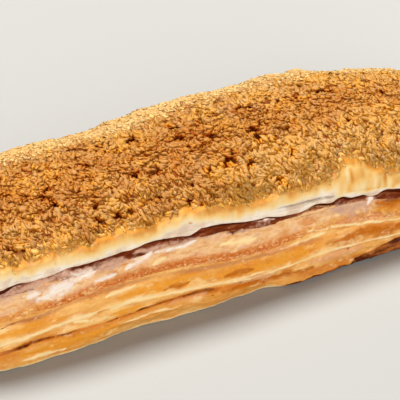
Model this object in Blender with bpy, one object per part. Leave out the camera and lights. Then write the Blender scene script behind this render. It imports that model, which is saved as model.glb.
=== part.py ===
"""A puff-pastry eclair: a layered pastry bar, a dark sweet layer on it, and a domed cream topping rolled in crumbs.

Metres, +X along the bar, -Y towards the side that shows, +Z up, and the origin under its middle, on the table.
Each solid is a loft of rings round a spine. A ring's place is a share of the way out from the spine: 0 is on the
spine and 1 is on the outline.
"""

import math

import bmesh
import bpy
import numpy as np
from mathutils import Matrix, Vector, noise

# Plan of the bar
LENGTH = 0.138
CREAM_WIDTH = 0.0380
PASTRY_WIDTH = 0.0366
END_POWER = 9.0  # how square the ends are
SIDE_POWER = 2.3
SPINE_SHARE = 0.78  # of the half length
SPINE_PULL = 0.97  # how square to the spine the rings' steps run

# Height of the cream's underside and of its ridge, at stations along the bar: (x, z)
UNDERSIDE = (
    (-0.069, 0.0140),
    (-0.058, 0.0190),
    (-0.046, 0.0203),
    (-0.030, 0.0202),
    (-0.020, 0.0205),
    (-0.008, 0.0201),
    (0.010, 0.0180),
    (0.026, 0.0175),
    (0.040, 0.0147),
    (0.069, 0.0102),
)
RIDGE = (
    (-0.069, 0.0262),
    (-0.054, 0.0305),
    (-0.034, 0.0322),
    (-0.005, 0.0321),
    (0.016, 0.0323),
    (0.034, 0.0309),
    (0.046, 0.0283),
    (0.057, 0.0248),
    (0.069, 0.0202),
)

# Pastry: each leaf's lower and upper share of the height, the depth of its rounded rim, and its set-back
LEAVES = (
    (0.000, 0.255, 0.0011, 0.0002),
    (0.285, 0.590, 0.0009, 0.0008),
    (0.625, 1.000, 0.0011, 0.0000),
)
RIM_ROWS = 5
CREVICE_DEPTH = 0.0023
LEAF_WAVE = 0.0006
LEAF_WAVE_SIZE = 0.012
LEAF_SAG = 0.0005
LEAF_SAG_SIZE = 0.020
FLAT_HALF_LENGTH = 0.044  # the underside is flat this far from the middle
END_LIFT = 0.0012  # and rises this much at its ends
PASTRY_COLUMNS = 96

# Dark layer between the pastry and the cream
GAP = 0.0003
DARK_THICKNESS = 0.0025
DARK_SHARE = 0.95  # of the cream's outline
DARK_ROWS = ((0.0, -0.0009), (0.3, -0.0001), (0.65, -0.0004), (1.0, -0.0011))  # share of the height, growth
DARK_WAVE = 0.0004
DARK_WAVE_SIZE = 0.010
DARK_COLUMNS = 64

# Cream topping
DOME_POWER = 2.2
DOME_EDGE = 0.992  # share out of the dome's lowest row
LIP_HEIGHT = 0.0016
LIP_ROWS = ((0.86, 0.0, 0.0), (0.95, 0.0, 0.0), (0.972, 0.0, 1.0), (1.0, 0.3, 0.7))  # share out, rise, hang
DOME_FOOT = 0.4  # of the lip's height
LIP_DROOP = 0.0008
LIP_DROOP_SIZE = 0.009
LIP_WAVE = 0.0006
LIP_WAVE_SIZE = 0.014
TOPPING_COLUMNS = 160
DOME_ROW = 0.0018

# Crumbs on it: bumps of their size, and the largest ones as pieces
BARE_SHARE = 0.93  # the cream is bare outside this share
BUMP_HEIGHT = 0.0008
BUMP_SIZE = 0.0017
CRUMBS = 90
CRUMB_LENGTH = 0.0025
CRUMB_SIZES = (0.8, 1.2)
CRUMB_WIDTHS = (0.5, 0.7)
CRUMB_HEIGHTS = (0.35, 0.5)
CRUMB_ROUGHNESS = (0.8, 1.15)
CRUMB_REACH = (0.04, 0.92)  # shares out between which they lie
CRUMB_TILT = 0.4
SEED = 11


def along(stations, x):
    """A smooth curve through the stations, at x."""
    xs, zs = np.array(stations).T
    slopes = np.gradient(zs, xs)
    x = np.clip(x, xs[0], xs[-1])
    i = np.clip(np.searchsorted(xs, x) - 1, 0, len(xs) - 2)
    span = xs[i + 1] - xs[i]
    t = (x - xs[i]) / span
    return (
        zs[i] * (1 + 2 * t) * (1 - t) ** 2
        + zs[i + 1] * (3 - 2 * t) * t**2
        + span * t * (1 - t) * (slopes[i] * (1 - t) - slopes[i + 1] * t)
    )


def waves(points, size, seed):
    """Smooth noise from about -1 to 1 at each plan point, with features of that size."""
    return np.array([noise.noise(Vector((x / size, y / size, 7.3 * seed))) for x, y in points])


def outline(count, width):
    """Points evenly spaced round the plan outline, from the +X tip by way of the back."""
    angle = np.linspace(0, 2 * math.pi, 4001)
    c, s = np.cos(angle), np.sin(angle)
    x = LENGTH / 2 * np.sign(c) * np.abs(c) ** (2 / END_POWER)
    y = width / 2 * np.sign(s) * np.abs(s) ** (2 / SIDE_POWER)
    walked = np.concatenate([[0], np.cumsum(np.hypot(np.diff(x), np.diff(y)))])
    at = np.linspace(0, walked[-1], count, endpoint=False)
    return np.column_stack([np.interp(at, walked, x), np.interp(at, walked, y)])


def ring(edge, share, grow=0.0):
    """The ring at a share of the way from the spine to the edge, moved outwards by grow at each point."""
    half = LENGTH / 2 * SPINE_SHARE
    root = np.column_stack([np.clip(edge[:, 0] * SPINE_PULL, -half, half), np.zeros(len(edge))])
    out = edge - root
    out = out / np.linalg.norm(out, axis=1)[:, None]
    return root + (edge - root) * share + out * np.reshape(grow, (-1, 1))


def at_height(plan, z):
    """Plan points with their heights."""
    return np.column_stack([plan, np.broadcast_to(z, len(plan))])


def loft(name, rings, finish):
    """A closed solid through the rings from bottom to top. Each end is closed by faces from its back to its front."""
    bm = bmesh.new()
    loops = [[bm.verts.new(point) for point in one] for one in rings]
    count = len(loops[0])
    for low, high in zip(loops, loops[1:]):
        for i in range(count):
            j = (i + 1) % count
            bm.faces.new((low[i], low[j], high[j], high[i]))
    for loop in (loops[0], loops[-1]):
        for i in range(count // 2):
            rung = [loop[i], loop[i + 1], loop[(count - i - 1) % count], loop[(count - i) % count]]
            bm.faces.new(dict.fromkeys(rung))
    bmesh.ops.recalc_face_normals(bm, faces=bm.faces)
    mesh = bpy.data.meshes.new(name)
    bm.to_mesh(mesh)
    bm.free()
    mesh.materials.append(finish)
    return bpy.data.objects.new(name, mesh)


def material(name, colour, roughness):
    made = bpy.data.materials.new(name)
    made.use_nodes = True
    shader = made.node_tree.nodes["Principled BSDF"]
    shader.inputs["Base Color"].default_value = (*colour, 1)
    shader.inputs["Roughness"].default_value = roughness
    shader.inputs["Metallic"].default_value = 0
    return made


def pastry_top(x):
    return along(UNDERSIDE, x) - DARK_THICKNESS - 2 * GAP


def pastry_floor(x):
    """The underside: flat on the table, and lifted a little at the two ends."""
    past = np.clip((np.abs(x) - FLAT_HALF_LENGTH) / (LENGTH / 2 - FLAT_HALF_LENGTH), 0, 1)
    return END_LIFT * past**2


def leaf_rows():
    """For each ring, bottom to top: the share of the height, the set-back and the leaf's number."""
    rows = []
    for number, (low, high, depth, back) in enumerate(LEAVES):
        if number:
            rows.append(((low + LEAVES[number - 1][1]) / 2, CREVICE_DEPTH, number))
        for angle in np.linspace(-math.pi / 2, math.pi / 2, RIM_ROWS):
            share = low + (high - low) * (1 + math.sin(angle)) / 2
            rows.append((share, back + depth * (1 - math.cos(angle)), number))
    return rows


def make_pastry():
    """The bar of puff pastry: risen leaves with open seams between them."""
    edge = outline(PASTRY_COLUMNS, PASTRY_WIDTH)
    sag = LEAF_SAG * waves(edge, LEAF_SAG_SIZE, len(LEAVES) + 1)
    rings = []
    for share, back, number in leaf_rows():
        plan = ring(edge, 1, LEAF_WAVE * waves(edge, LEAF_WAVE_SIZE, number) - back)
        floor = pastry_floor(plan[:, 0])
        rise = (pastry_top(plan[:, 0]) - floor) * share
        rings.append(at_height(plan, floor + rise + sag * math.sin(math.pi * share)))
    return loft("pastry", rings, material("baked puff pastry", (0.80, 0.47, 0.19), 0.6))


def make_dark_layer():
    """The thin dark layer spread on the pastry, under the cream's lip."""
    edge = outline(DARK_COLUMNS, CREAM_WIDTH)
    uneven = DARK_WAVE * waves(edge, DARK_WAVE_SIZE, 8)
    rings = []
    for share, grow in DARK_ROWS:
        plan = ring(edge, DARK_SHARE, uneven + grow)
        rings.append(at_height(plan, pastry_top(plan[:, 0]) + GAP + DARK_THICKNESS * share))
    return loft("dark_layer", rings, material("dark brown layer", (0.16, 0.055, 0.025), 0.3))


def dome_height(x, share):
    """Height of the dome's surface at a share of the way out."""
    low = along(UNDERSIDE, x) + LIP_HEIGHT * DOME_FOOT
    return low + (along(RIDGE, x) - low) * (1 - share**DOME_POWER) ** (1 / DOME_POWER)


def dome_rows():
    """Shares of evenly spaced rows over the dome, from its edge to near its ridge."""
    share = np.linspace(DOME_EDGE, 0, 400)
    steps = np.hypot(np.diff(share) * CREAM_WIDTH / 2, np.diff(dome_height(0.0, share)))
    walked = np.concatenate([[0], np.cumsum(steps)])
    at = np.arange(0, walked[-1] - DOME_ROW / 2, DOME_ROW)
    return np.interp(at, walked, share)


def dome_ring(edge, share, raised):
    """One ring of the dome, raised off its surface by an amount at each point."""
    plan = ring(edge, share, raised * share**2)
    return at_height(plan, dome_height(plan[:, 0], share) + raised * (1 - share**4) ** 0.5)


def cream_edge():
    """The cream's outline, with its swellings."""
    edge = outline(TOPPING_COLUMNS, CREAM_WIDTH)
    return ring(edge, 1, LIP_WAVE * waves(edge, LIP_WAVE_SIZE, 3))


def make_topping():
    """The domed cream with its hanging lip, and bumps the size of crumbs where it was rolled in them."""
    edge = cream_edge()
    droop = LIP_DROOP * (0.6 + 0.8 * waves(edge, LIP_DROOP_SIZE, 4))
    rings = []
    for share, rise, hang in LIP_ROWS:
        plan = ring(edge, share)
        rings.append(at_height(plan, along(UNDERSIDE, plan[:, 0]) + LIP_HEIGHT * rise - droop * hang))
    for share in dome_rows():
        height = BUMP_HEIGHT if share < BARE_SHARE else 0
        rings.append(dome_ring(edge, share, height * waves(ring(edge, share), BUMP_SIZE, 6)))
    return loft("crumbed_cream", rings, material("crumbs on cream", (0.60, 0.33, 0.11), 0.75))


def make_crumb(length, rng):
    """One angular crumb, longer than it is wide and thick."""
    bm = bmesh.new()
    bmesh.ops.create_icosphere(bm, subdivisions=1, radius=length / 2)
    for vert in bm.verts:
        vert.co *= rng.uniform(*CRUMB_ROUGHNESS)
    bmesh.ops.scale(bm, vec=(1, rng.uniform(*CRUMB_WIDTHS), rng.uniform(*CRUMB_HEIGHTS)), verts=bm.verts)
    mesh = bpy.data.meshes.new("crumb")
    bm.to_mesh(mesh)
    bm.free()
    return bpy.data.objects.new("crumb", mesh)


def scatter_crumbs(rng):
    """The largest crumbs, spread evenly over the dome: each is a turn of the golden ratio round from the last."""
    golden = (math.sqrt(5) - 1) / 2
    edge = cream_edge()
    level = np.zeros(TOPPING_COLUMNS)
    near, far = CRUMB_REACH
    made = []
    for n in range(CRUMBS):
        share = near + (far - near) * (n + 0.5) / CRUMBS
        column = int((n * golden % 1) * TOPPING_COLUMNS)
        here = dome_ring(edge, share, level)
        higher = dome_ring(edge, share - near / 2, level)
        side = Vector(here[(column + 1) % TOPPING_COLUMNS] - here[column])
        normal = side.cross(Vector(higher[column] - here[column]))
        if normal.z < 0:
            normal.negate()
        crumb = make_crumb(CRUMB_LENGTH * rng.uniform(*CRUMB_SIZES), rng)
        turn = Matrix.Rotation(rng.uniform(0, 2 * math.pi), 4, "Z")
        tilt = Matrix.Rotation(rng.uniform(-CRUMB_TILT, CRUMB_TILT), 4, "X")
        lie = normal.to_track_quat("Z", "Y").to_matrix().to_4x4()
        crumb.matrix_world = Matrix.Translation(here[column]) @ lie @ turn @ tilt
        made.append(crumb)
    return made


def join_all(core, pieces):
    """Joins the pieces to the core by one Boolean union, and removes them."""
    group = bpy.data.collections.new("crumbs to join")
    bpy.context.scene.collection.children.link(group)
    for piece in pieces:
        group.objects.link(piece)
    join = core.modifiers.new("join", "BOOLEAN")
    join.operation = "UNION"
    join.operand_type = "COLLECTION"
    join.collection = group
    join.solver = "MANIFOLD"
    graph = bpy.context.evaluated_depsgraph_get()
    joined = bpy.data.meshes.new_from_object(core.evaluated_get(graph))
    core.modifiers.clear()
    core.data = joined
    for piece in pieces:
        bpy.data.objects.remove(piece)
    bpy.data.collections.remove(group)


def main():
    for obj in list(bpy.data.objects):
        bpy.data.objects.remove(obj)
    parts = bpy.data.collections.new("eclair")
    bpy.context.scene.collection.children.link(parts)
    topping = make_topping()
    for piece in (make_pastry(), make_dark_layer(), topping):
        parts.objects.link(piece)
    join_all(topping, scatter_crumbs(np.random.default_rng(SEED)))


main()
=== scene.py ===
"""The looks of a puff-pastry eclair: layered pastry, a dark sweet layer and domed cream rolled in crumbs.

Metres, +X along the bar, -Y towards the side that shows, +Z up. The plan and heights are the solids' own.
"""

import math

import bpy
import numpy as np
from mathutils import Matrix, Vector


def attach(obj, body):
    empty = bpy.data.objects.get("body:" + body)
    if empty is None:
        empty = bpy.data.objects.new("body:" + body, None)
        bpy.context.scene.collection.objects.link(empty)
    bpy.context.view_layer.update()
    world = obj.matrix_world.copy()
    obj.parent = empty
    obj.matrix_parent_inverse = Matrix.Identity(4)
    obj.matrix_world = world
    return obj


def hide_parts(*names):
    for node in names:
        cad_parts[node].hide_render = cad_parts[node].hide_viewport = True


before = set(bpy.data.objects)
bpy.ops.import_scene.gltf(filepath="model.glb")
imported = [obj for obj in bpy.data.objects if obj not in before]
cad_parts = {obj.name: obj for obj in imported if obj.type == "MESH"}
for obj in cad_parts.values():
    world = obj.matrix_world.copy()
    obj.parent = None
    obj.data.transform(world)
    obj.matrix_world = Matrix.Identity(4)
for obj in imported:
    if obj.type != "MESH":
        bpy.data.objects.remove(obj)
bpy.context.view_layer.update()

MM = 0.001

# The solids' plan
LENGTH = 138 * MM
CREAM_WIDTH = 38 * MM
PASTRY_WIDTH = 36.6 * MM
END_POWER = 9.0
SIDE_POWER = 2.3
SPINE_SHARE = 0.78
SPINE_PULL = 0.97

# The solids' heights: (x, z) in mm
UNDERSIDE = (
    (-69, 14), (-58, 19), (-46, 20.3), (-30, 20.2), (-20, 20.5), (-8, 20.1), (10, 18), (26, 17.5),
    (40, 14.7), (69, 10.2),
)
RIDGE = (
    (-69, 26.2), (-54, 30.5), (-34, 32.2), (-5, 32.1), (16, 32.3), (34, 30.9), (46, 28.3), (57, 24.8),
    (69, 20.2),
)
DARK_THICKNESS = 2.5 * MM
FLAT_HALF_LENGTH = 44 * MM
END_LIFT = 1.2 * MM
DOME_POWER = 2.2
DOME_FOOT = 0.64 * MM

# Places on the side are given on this upright plane, and move down by this slope on what is sunk behind it
SIDE_PLANE = 18.3 * MM
SIGHT_SLOPE = 0.54


# ---- shapes

def along(stations, x):
    """A smooth curve through stations, each a place along the bar in mm and a value, at x in metres."""
    xs, values = np.array(stations).T
    slopes = np.gradient(values, xs)
    x = np.clip(x / MM, xs[0], xs[-1])
    i = np.clip(np.searchsorted(xs, x) - 1, 0, len(xs) - 2)
    span = xs[i + 1] - xs[i]
    t = (x - xs[i]) / span
    ends = values[i] * (1 + 2 * t) * (1 - t) ** 2 + values[i + 1] * (3 - 2 * t) * t**2
    return ends + span * t * (1 - t) * (slopes[i] * (1 - t) - slopes[i + 1] * t)


def heights(stations, x):
    """The same for heights in mm, which come out in metres."""
    return MM * along(stations, x)


def smooth(low, high, value):
    """0 below low, 1 above high, and a smooth step between them."""
    t = np.clip((value - low) / (high - low), 0, 1)
    return t * t * (3 - 2 * t)


def bell(centre, half_width, value):
    return np.exp(-(((value - centre) / half_width) ** 2))


def grain(points, size, seed):
    """Smooth noise from -1 to 1 with features of that size in mm, or of three sizes for X, Y and Z."""
    table = np.random.default_rng(seed).uniform(-1, 1, 4096)
    at = points / (MM * np.array(size)) + 500.5
    cell = np.floor(at).astype(np.int64)
    t = at - cell
    t = t * t * (3 - 2 * t)
    total = 0
    for corner in np.ndindex(2, 2, 2):
        x, y, z = (cell + corner).T
        value = table[(x * 73856093 ^ y * 19349663 ^ z * 83492791) & 4095]
        weight = np.prod(np.where(np.array(corner) == 1, t, 1 - t), axis=1)
        total = total + value * weight
    return total


def grains(points, *layers):
    """Layers of smooth noise added up, each with its height, its size and its seed."""
    return sum(height * grain(points, size, seed) for height, size, seed in layers)


def rough_grain(points, size, seed):
    """Noise with two finer noises on it, each half the size and height of the last."""
    return sum(grain(points, np.array(size) / 2**n, seed + n) / 2**n for n in range(3))


def outline(count, width):
    """Points evenly spaced round the plan outline, from the +X tip by way of the back."""
    angle = np.linspace(0, 2 * math.pi, 8001)
    c, s = np.cos(angle), np.sin(angle)
    x = LENGTH / 2 * np.sign(c) * np.abs(c) ** (2 / END_POWER)
    y = width / 2 * np.sign(s) * np.abs(s) ** (2 / SIDE_POWER)
    walked = np.concatenate([[0], np.cumsum(np.hypot(np.diff(x), np.diff(y)))])
    at = np.linspace(0, walked[-1], count, endpoint=False)
    return np.column_stack([np.interp(at, walked, x), np.interp(at, walked, y)])


def ring(edge, share, grow=0.0):
    """The ring at a share of the way from the spine to the edge, moved outwards by grow at each point."""
    half = LENGTH / 2 * SPINE_SHARE
    root = np.column_stack([np.clip(edge[:, 0] * SPINE_PULL, -half, half), np.zeros(len(edge))])
    out = edge - root
    out = out / np.linalg.norm(out, axis=1)[:, None]
    return root + (edge - root) * share + out * np.reshape(grow, (-1, 1))


def at_height(plan, z):
    return np.column_stack([plan, np.broadcast_to(z, len(plan))])


def underside(x):
    return heights(UNDERSIDE, x)


def pastry_top(x):
    return underside(x) - DARK_THICKNESS


def pastry_floor(x):
    past = np.clip((np.abs(x) - FLAT_HALF_LENGTH) / (LENGTH / 2 - FLAT_HALF_LENGTH), 0, 1)
    return END_LIFT * past**2


def dome_ring(edge, share, raised):
    """One ring of the dome, raised off its surface by an amount at each point."""
    plan = ring(edge, share, raised * share**2)
    low = underside(plan[:, 0]) + DOME_FOOT
    top = low + (heights(RIDGE, plan[:, 0]) - low) * (1 - share**DOME_POWER) ** (1 / DOME_POWER)
    return at_height(plan, top + raised * (1 - share**4) ** 0.5)


def side_places(points):
    """Places on the long sides in mm, along the bar and up. The hidden side runs the other way."""
    across = np.where(points[:, 1] < 0, 1, -1) * points[:, 0]
    sunk = np.clip(SIDE_PLANE - np.abs(points[:, 1]), -1 * MM, 1.5 * MM)
    up = points[:, 2] + SIGHT_SLOPE * sunk
    sway = grains(points, (0.4, 2.2, 11), (0.2, 0.9, 12))
    bob = grains(points, (0.4, 2.2, 13), (0.2, 0.9, 14))
    return np.column_stack([across / MM + sway, up / MM + 0.6 * bob])


def strokes(points, routes):
    """How much smears or streaks cover each point, 0 to 1.

    A route is its half thickness and then its (x, z) places, in mm, on the long sides.
    """
    places = side_places(points)
    closeness = np.full(len(points), -9.0)
    for thick, *stops in routes:
        stops = np.array(stops)
        for number, (start, end) in enumerate(zip(stops[:-1], stops[1:])):
            run = end - start
            t = np.clip((places - start) @ run / (run @ run), 0, 1)
            away = np.linalg.norm(places - start - t[:, None] * run, axis=1)
            whole = (number + t) / (len(stops) - 1)
            closeness = np.maximum(closeness, 1 - away / (thick * (0.45 + 0.75 * np.sin(math.pi * whole))))
    ragged = grains(points, (0.5, (2.4, 2.4, 0.9), 15), (0.35, (1.0, 1.0, 0.5), 16))
    return np.clip(0.5 + 0.42 * (closeness + ragged * smooth(-1.6, 0.0, closeness)), 0, 1) ** 1.3


def make_object(name, points, faces, finish, paints=None):
    """A mesh object with its vertex paints, each one number a vertex."""
    mesh = bpy.data.meshes.new(name)
    mesh.from_pydata(points.tolist(), [], faces)
    for key, values in (paints or {}).items():
        mesh.attributes.new(key, "FLOAT", "POINT").data.foreach_set("value", values.astype(np.float32))
    mesh.materials.append(finish)
    mesh.shade_smooth()
    made = bpy.data.objects.new(name, mesh)
    bpy.context.scene.collection.objects.link(made)
    return made


def loft_faces(rows, columns):
    """Quads between rows of a closed loft, and the faces that close its first and last rows."""
    low = np.arange(rows - 1)[:, None] * columns + np.arange(columns)
    right = np.arange(rows - 1)[:, None] * columns + (np.arange(columns) + 1) % columns
    quads = np.stack([low, right, right + columns, low + columns], axis=-1).reshape(-1, 4)
    faces = quads.tolist()
    for first, flip in ((0, True), ((rows - 1) * columns, False)):
        for i in range(columns // 2):
            rung = [i, i + 1, (columns - i - 1) % columns, (columns - i) % columns]
            rung = [first + corner for corner in dict.fromkeys(rung)]
            faces.append(rung[::-1] if flip else rung)
    return faces


# ---- finishes

def colour(red, green, blue):
    """A colour given as it looks on a screen, 0 to 255, as the shader's linear light."""
    values = np.array([red, green, blue]) / 255
    linear = np.where(values <= 0.04045, values / 12.92, ((values + 0.055) / 1.055) ** 2.4)
    return (*linear.tolist(), 1.0)


class Wire:
    """A shader socket that takes part in sums."""

    def __init__(self, finish, socket):
        self.finish = finish
        self.socket = socket

    def math(self, operation, first, second):
        return self.finish.node("Math", {"operation": operation}, {0: first, 1: second})

    def __add__(self, other):
        return self.math("ADD", self, other)

    def __sub__(self, other):
        return self.math("SUBTRACT", self, other)

    def __rsub__(self, other):
        return self.math("SUBTRACT", other, self)

    def __mul__(self, other):
        return self.math("MULTIPLY", self, other)

    __radd__ = __add__
    __rmul__ = __mul__


class Finish:
    """A material under construction."""

    def __init__(self, name, **constants):
        self.material = bpy.data.materials.new(name)
        self.material.use_nodes = True
        self.tree = self.material.node_tree
        self.shader = self.tree.nodes["Principled BSDF"]
        for key, value in constants.items():
            self.shader.inputs[key.replace("_", " ").title().replace("Ior", "IOR")].default_value = value

    def node(self, kind, settings=None, inputs=None, output=0):
        made = self.tree.nodes.new("ShaderNode" + kind)
        for key, value in (settings or {}).items():
            if key == "stops":
                self.set_stops(made.color_ramp, value)
            else:
                setattr(made, key, value)
        for key, value in (inputs or {}).items():
            self.feed(made.inputs[key], value)
        return Wire(self, made.outputs[output])

    def feed(self, socket, value):
        if isinstance(value, Wire):
            self.tree.links.new(value.socket, socket)
        elif socket.type == "RGBA":
            socket.default_value = colour(*value)
        else:
            socket.default_value = value

    def set_stops(self, ramp, stops):
        while len(ramp.elements) < len(stops):
            ramp.elements.new(0.5)
        for element, (place, shade) in zip(ramp.elements, stops):
            element.position = place
            element.color = colour(*shade)

    def paint(self, name):
        return self.node("Attribute", {"attribute_name": name}, output="Fac")

    def places(self):
        return self.node("TexCoord", output="Object")

    def noise(self, size, detail=3.0, stretch=(1, 1, 1), roughness=0.55):
        """Noise from 0 to 1 with features of that size in mm."""
        shrink = {0: self.places(), 1: [1 / s for s in stretch]}
        scaled = self.node("VectorMath", {"operation": "MULTIPLY"}, shrink)
        inputs = {"Vector": scaled, "Scale": 1 / (size * MM), "Detail": detail, "Roughness": roughness}
        return self.node("TexNoise", inputs=inputs)

    def ramp(self, value, stops):
        return self.node("ValToRGB", {"stops": stops}, {"Fac": value})

    def steps(self, value, low, high):
        """0 below low, 1 above high."""
        inputs = {"Value": value, "From Min": low, "From Max": high}
        return self.node("MapRange", {"interpolation_type": "SMOOTHSTEP"}, inputs)

    def mix(self, first, second, factor):
        inputs = {0: factor, 6: first, 7: second}
        return self.node("Mix", {"data_type": "RGBA"}, inputs, output=2)

    def layers(self, shade, coats, breakup):
        """Lays paints over a shade: each has a name, a colour and how far the noise breaks up its edge."""
        for name, over, broken in coats:
            cover = self.steps(self.paint(name) + broken * (breakup - 0.5), 0.12, 0.88)
            shade = self.mix(shade, over, cover)
        return shade

    def bump(self, height, distance, strength):
        inputs = {"Height": height, "Distance": distance, "Strength": strength}
        return self.node("Bump", inputs=inputs)

    def set(self, **sockets):
        for key, value in sockets.items():
            self.feed(self.shader.inputs[key.replace("_", " ").title()], value)
        return self.material


def glow(weight, depth, spread):
    """Settings for light that spreads under the surface: how much, how deep in mm, and how by colour."""
    return {"subsurface_weight": weight, "subsurface_scale": depth * MM, "subsurface_radius": spread}


def cream_finish():
    made = Finish("cream", specular_ior_level=0.15, coat_roughness=0.3, **glow(0.3, 1.2, (1.0, 0.7, 0.45)))
    patchy = made.steps(made.noise(3, 4), 0.36, 0.6)
    white = made.mix((220, 192, 166), (242, 226, 206), patchy)
    drawn = made.noise(1.3, 3, stretch=(0.7, 1.0, 2.6))
    dust = made.paint("dust") + 0.3 * (drawn - 0.5)
    dusty = made.ramp(dust, [
        (0.08, (240, 222, 186)), (0.38, (240, 209, 150)), (0.7, (236, 186, 104)), (1.0, (212, 138, 48)),
    ])
    shade = made.mix(white, dusty, made.steps(dust, 0.0, 0.28))
    crumby = made.noise(0.5, 3)
    brown = made.mix((104, 40, 0), (160, 86, 24), crumby)
    shade = made.mix(shade, brown, made.paint("coat"))
    floury = made.mix((196, 134, 64), (216, 176, 116), crumby)
    shade = made.mix(shade, floury, made.paint("far"))
    # The pits are painted darkest: partly the coat's own dark bed in its gaps, partly painted shade in these
    # hollows
    shade = made.mix(shade, (64, 20, 2), made.paint("pit"))
    # Dark brown on the cream's underside and the bottom of its lip: partly stained by the dark layer, partly
    # painted shade under the lip
    shade = made.mix(shade, (96, 40, 12), made.paint("stain"))
    # Painted shadow: a grey line along the crease of the second sheet of icing
    shade = made.mix(shade, (122, 104, 92), made.paint("crease"))
    relief = made.noise(0.7, 3) + 0.6 * made.noise(3, 2)
    return made.set(
        base_color=shade,
        roughness=0.5 + 0.4 * made.paint("coat"),
        coat_weight=0.35 * (1 - made.paint("coat")),
        normal=made.bump(relief, 0.12 * MM, 0.6),
    )


def crumb_finish(name, deep, middle, pale):
    made = Finish(name, roughness=0.8, specular_ior_level=0.0, **glow(0.3, 0.25, (1.0, 1.0, 1.0)))
    fibre = made.noise(0.4, 3)
    tone = made.paint("tone") + 0.25 * (fibre - 0.5)
    shade = made.ramp(tone, [(0.0, (92, 24, 0)), (0.18, deep), (0.54, middle), (1.0, pale)])
    return made.set(base_color=shade, normal=made.bump(fibre, 0.08 * MM, 0.5))


def spread_finish():
    made = Finish("dark spread", specular_ior_level=0.05, **glow(0.1, 0.8, (1.0, 0.2, 0.1)))
    streaks = made.noise(1.6, 3, stretch=(3, 3, 0.7))
    brown = made.ramp(streaks, [(0.34, (82, 24, 0)), (0.54, (116, 46, 10)), (0.72, (172, 102, 56))])
    grit = made.noise(0.7, 4, stretch=(1.4, 1.4, 0.9), roughness=0.7)
    shade = made.layers(brown, (
        ("mauve", (208, 162, 136), 1.4),
        ("peach", (240, 188, 130), 1.2),
        ("white", (246, 230, 216), 1.6),
    ), grit)
    # Painted shadow: the darkest brown lies just under the lip, where its shade falls
    shade = made.layers(shade, [("deep", (72, 20, 0), 0.4)], streaks)
    relief = made.bump(streaks, 0.15 * MM, 0.5)
    return made.set(base_color=shade, roughness=0.25 + 0.25 * streaks, normal=relief)


def pastry_finish():
    made = Finish("baked puff pastry", specular_ior_level=0.05, **glow(0.25, 1.0, (1.0, 0.5, 0.2)))
    fine = made.noise(0.9, 4, stretch=(2.2, 2.2, 0.9), roughness=0.65)
    swirl = made.noise(2.6, 5, stretch=(2.6, 2.6, 0.7), roughness=0.65)
    bake = made.paint("bake") + 0.16 * (fine - 0.5) + 0.5 * (swirl - 0.5)
    shade = made.ramp(bake, [
        (0.0, (255, 226, 172)), (0.22, (247, 198, 122)), (0.42, (232, 162, 76)),
        (0.6, (218, 132, 44)), (0.78, (160, 80, 24)), (1.0, (92, 36, 6)),
    ])
    marble = made.ramp(made.noise(2.4, 5, stretch=(1.9, 1.9, 0.8), roughness=0.65), [
        (0.34, (218, 144, 84)), (0.45, (230, 172, 112)), (0.54, (240, 196, 144)), (0.64, (230, 176, 138)),
    ])
    shade = made.layers(shade, (
        ("peach", marble, 0.8),
        ("golden", (234, 156, 48), 1.2),
        ("amber", (194, 108, 18), 0.8),
        # Painted shade in the hollow under the rim
        ("tan", (200, 140, 84), 0.8),
        ("pink", (230, 166, 112), 0.9),
    ), swirl)
    grit = made.noise(0.7, 4, stretch=(1.4, 1.4, 0.9), roughness=0.7)
    orange = made.mix((196, 100, 36), (226, 146, 82), made.steps(grit, 0.4, 0.62))
    shade = made.layers(shade, [("orange", orange, 1.6)], grit)
    crumbly = made.paint("crumbly")
    burnt = made.mix((84, 24, 0), (188, 108, 46), made.steps(swirl, 0.44, 0.64))
    mottle = made.noise(1.9, 5, stretch=(1.8, 1.8, 0.8), roughness=0.68)
    shade = made.mix(shade, (255, 220, 160), 0.6 * made.steps(mottle, 0.53, 0.68))
    mottle = made.noise(1.7, 5, stretch=(2.2, 2.2, 0.8), roughness=0.68)
    shade = made.mix(shade, (204, 108, 30), 0.5 * made.steps(mottle, 0.54, 0.7))
    shade = made.layers(shade, (
        # Pale along the fold and the bottom edge: partly the leaves' own paler edges, partly painted
        # highlights
        ("crest", (255, 224, 168), 0.8),
        # Pale streaks: partly the leaves' own paler bake, partly painted highlights
        ("pale", (254, 222, 164), 0.9),
    ), fine)
    shade = made.layers(shade, (
        ("mauve", (208, 164, 140), 1.4),
        ("white", (246, 230, 216), 1.4),
        ("brown", burnt, 0.9),
    ), grit)
    speckle = made.noise(0.5, 3, stretch=(1.5, 1.5, 0.9))
    # On the rough rim, dark specks lie in the hollows of its bump and pale specks on its grains: partly the
    # grains' own bake, partly painted shade and painted highlights
    shade = made.mix(shade, (176, 86, 28), 0.6 * crumbly * made.steps(speckle, 0.5, 0.66))
    shade = made.mix(shade, (255, 206, 144), 0.9 * crumbly * made.steps(1 - speckle, 0.54, 0.68))
    rough = 0.52 - 0.2 * made.paint("butter") + 0.3 * crumbly
    relief = made.bump(0.5 * fine + 0.6 * swirl - crumbly * speckle, 0.35 * MM, 0.9)
    glaze = 0.15 * made.paint("butter") + 0.1 * made.paint("brown")
    return made.set(base_color=shade, roughness=rough, coat_weight=glaze, normal=relief)


# ---- smears

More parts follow.
